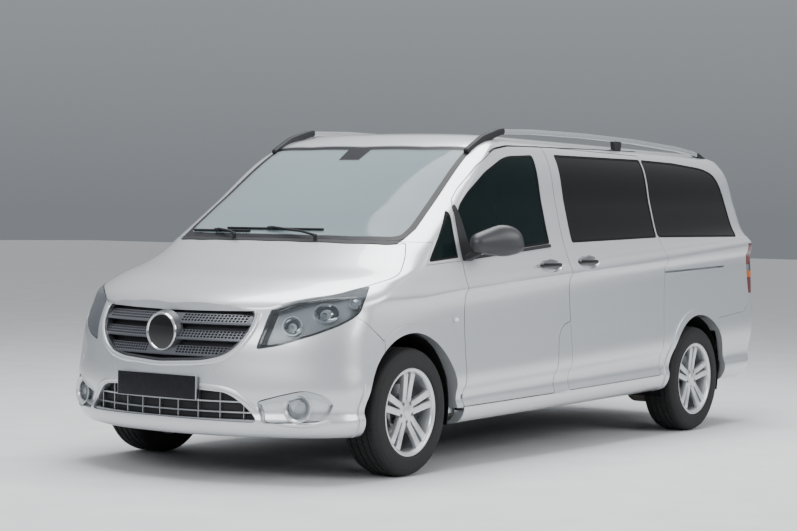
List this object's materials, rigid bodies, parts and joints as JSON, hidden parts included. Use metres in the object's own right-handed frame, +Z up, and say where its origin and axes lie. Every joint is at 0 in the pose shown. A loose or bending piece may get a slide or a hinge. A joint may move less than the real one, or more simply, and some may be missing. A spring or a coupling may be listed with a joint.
{
  "type": "family minibus",
  "caption": "Silver family minibus with hinged front doors, hood and tailgate, steered front wheels, roof rails and three rows of seats.",
  "frame": {"origin": "on the ground below the middle of the overall box, mirrors and roof rails included", "axes": "+X to the vehicle's left, +Y towards the tail (the nose is at -Y), +Z up"},
  "size_m": [2.2302, 5.1552, 1.86],
  "materials": {
    "body_paint": "gloss",
    "dark_plastic": "satin",
    "gloss_black": "gloss",
    "grille_plastic": "satin",
    "bright_metal": "polished",
    "rail_alloy": "satin",
    "wheel_alloy": "satin",
    "clear_glass": "gloss",
    "dark_glass": "gloss",
    "lamp_lens": "gloss",
    "red_lens": "gloss",
    "fog_bezel": "satin",
    "tyre_rubber": "matte",
    "cast_steel": "matte",
    "bare_steel": "satin",
    "floor_steel": "matte",
    "seat_fabric": "matte",
    "trim_plastic": "matte"
  },
  "bodies": {
    "body": {"floor_pan": "floor_steel", "side_frame_left": "body_paint", "side_frame_right": "body_paint", "roof_panel": "body_paint", "front_wings": "body_paint", "bulkhead": "dark_plastic", "front_bumper": "body_paint", "grille": "grille_plastic", "lower_grille": "bright_metal", "headlamps": "lamp_lens", "fog_lamps": "fog_bezel", "front_plate": "dark_plastic", "windscreen": "clear_glass", "fixed_glass": "dark_glass", "wipers": "dark_plastic", "sliding_door_left": "body_paint", "sliding_door_right": "body_paint", "rear_bumper": "body_paint", "tail_lamps": "red_lens", "roof_rails": "rail_alloy", "arch_liners": "dark_plastic", "door_hinges": "bare_steel", "lid_hinges": "bare_steel", "front_seats": "seat_fabric", "rear_seats": "seat_fabric", "dashboard": "trim_plastic", "engine_block": "cast_steel", "front_subframe": "cast_steel", "rear_axle": "cast_steel", "exhaust": "bare_steel", "fuel_tank": "trim_plastic"},
    "hood": {"hood": "body_paint"},
    "tailgate": {"tailgate": "body_paint", "tailgate_glass": "dark_glass", "rear_plate": "dark_plastic"},
    "steering_wheel": {"steering_wheel": "trim_plastic"},
    "front_door_left": {"front_door_left": "body_paint", "door_glass_left": "dark_glass", "door_trim_left": "gloss_black"},
    "knuckle_left": {"knuckle_left": "cast_steel"},
    "wheel_front_left": {"wheel_front_left": "wheel_alloy", "tyre_front_left": "tyre_rubber"},
    "wheel_rear_left": {"wheel_rear_left": "wheel_alloy", "tyre_rear_left": "tyre_rubber"},
    "front_door_right": {"front_door_right": "body_paint", "door_glass_right": "dark_glass", "door_trim_right": "gloss_black"},
    "knuckle_right": {"knuckle_right": "cast_steel"},
    "wheel_front_right": {"wheel_front_right": "wheel_alloy", "tyre_front_right": "tyre_rubber"},
    "wheel_rear_right": {"wheel_rear_right": "wheel_alloy", "tyre_rear_right": "tyre_rubber"}
  },
  "joints": [
    {"name": "hood_hinge", "type": "hinge", "parent": "body", "child": "hood", "pos_m": [0, -1.505, 1.205], "axis": [-1, 0, 0], "range_deg": [0, 50]},
    {"name": "tailgate_hinge", "type": "hinge", "parent": "body", "child": "tailgate", "pos_m": [0, 2.24, 1.75], "axis": [1, 0, 0], "range_deg": [0, 85]},
    {"name": "front_door_left_hinge", "type": "hinge", "parent": "body", "child": "front_door_left", "pos_m": [0.915, -1.135, 0.735], "axis": [0, 0, -1], "range_deg": [0, 65]},
    {"name": "front_door_right_hinge", "type": "hinge", "parent": "body", "child": "front_door_right", "pos_m": [-0.915, -1.135, 0.735], "axis": [0, 0, 1], "range_deg": [0, 65]},
    {"name": "steer_left", "type": "hinge", "parent": "body", "child": "knuckle_left", "pos_m": [0.77, -1.645, 0.333], "axis": [0, 0, 1], "range_deg": [-35, 35]},
    {"name": "steer_right", "type": "hinge", "parent": "body", "child": "knuckle_right", "pos_m": [-0.77, -1.645, 0.333], "axis": [0, 0, 1], "range_deg": [-35, 35]},
    {"name": "steering_wheel_turn", "type": "hinge", "parent": "body", "child": "steering_wheel", "pos_m": [0.4, -0.8, 1.12], "axis": [0, 0.8829, 0.4695], "range_deg": [-500, 500]},
    {"name": "wheel_front_left_spin", "type": "hinge", "parent": "knuckle_left", "child": "wheel_front_left", "pos_m": [0.815, -1.645, 0.333], "axis": [1, 0, 0], "continuous": true},
    {"name": "wheel_front_right_spin", "type": "hinge", "parent": "knuckle_right", "child": "wheel_front_right", "pos_m": [-0.815, -1.645, 0.333], "axis": [1, 0, 0], "continuous": true},
    {"name": "wheel_rear_left_spin", "type": "hinge", "parent": "body", "child": "wheel_rear_left", "pos_m": [0.815, 1.555, 0.333], "axis": [1, 0, 0], "continuous": true},
    {"name": "wheel_rear_right_spin", "type": "hinge", "parent": "body", "child": "wheel_rear_right", "pos_m": [-0.815, 1.555, 0.333], "axis": [1, 0, 0], "continuous": true}
  ],
  "couplings": [
    {"joint": "steer_right", "follows": "steer_left", "ratio": 1},
    {"joint": "steering_wheel_turn", "follows": "steer_left", "ratio": 14}
  ]
}
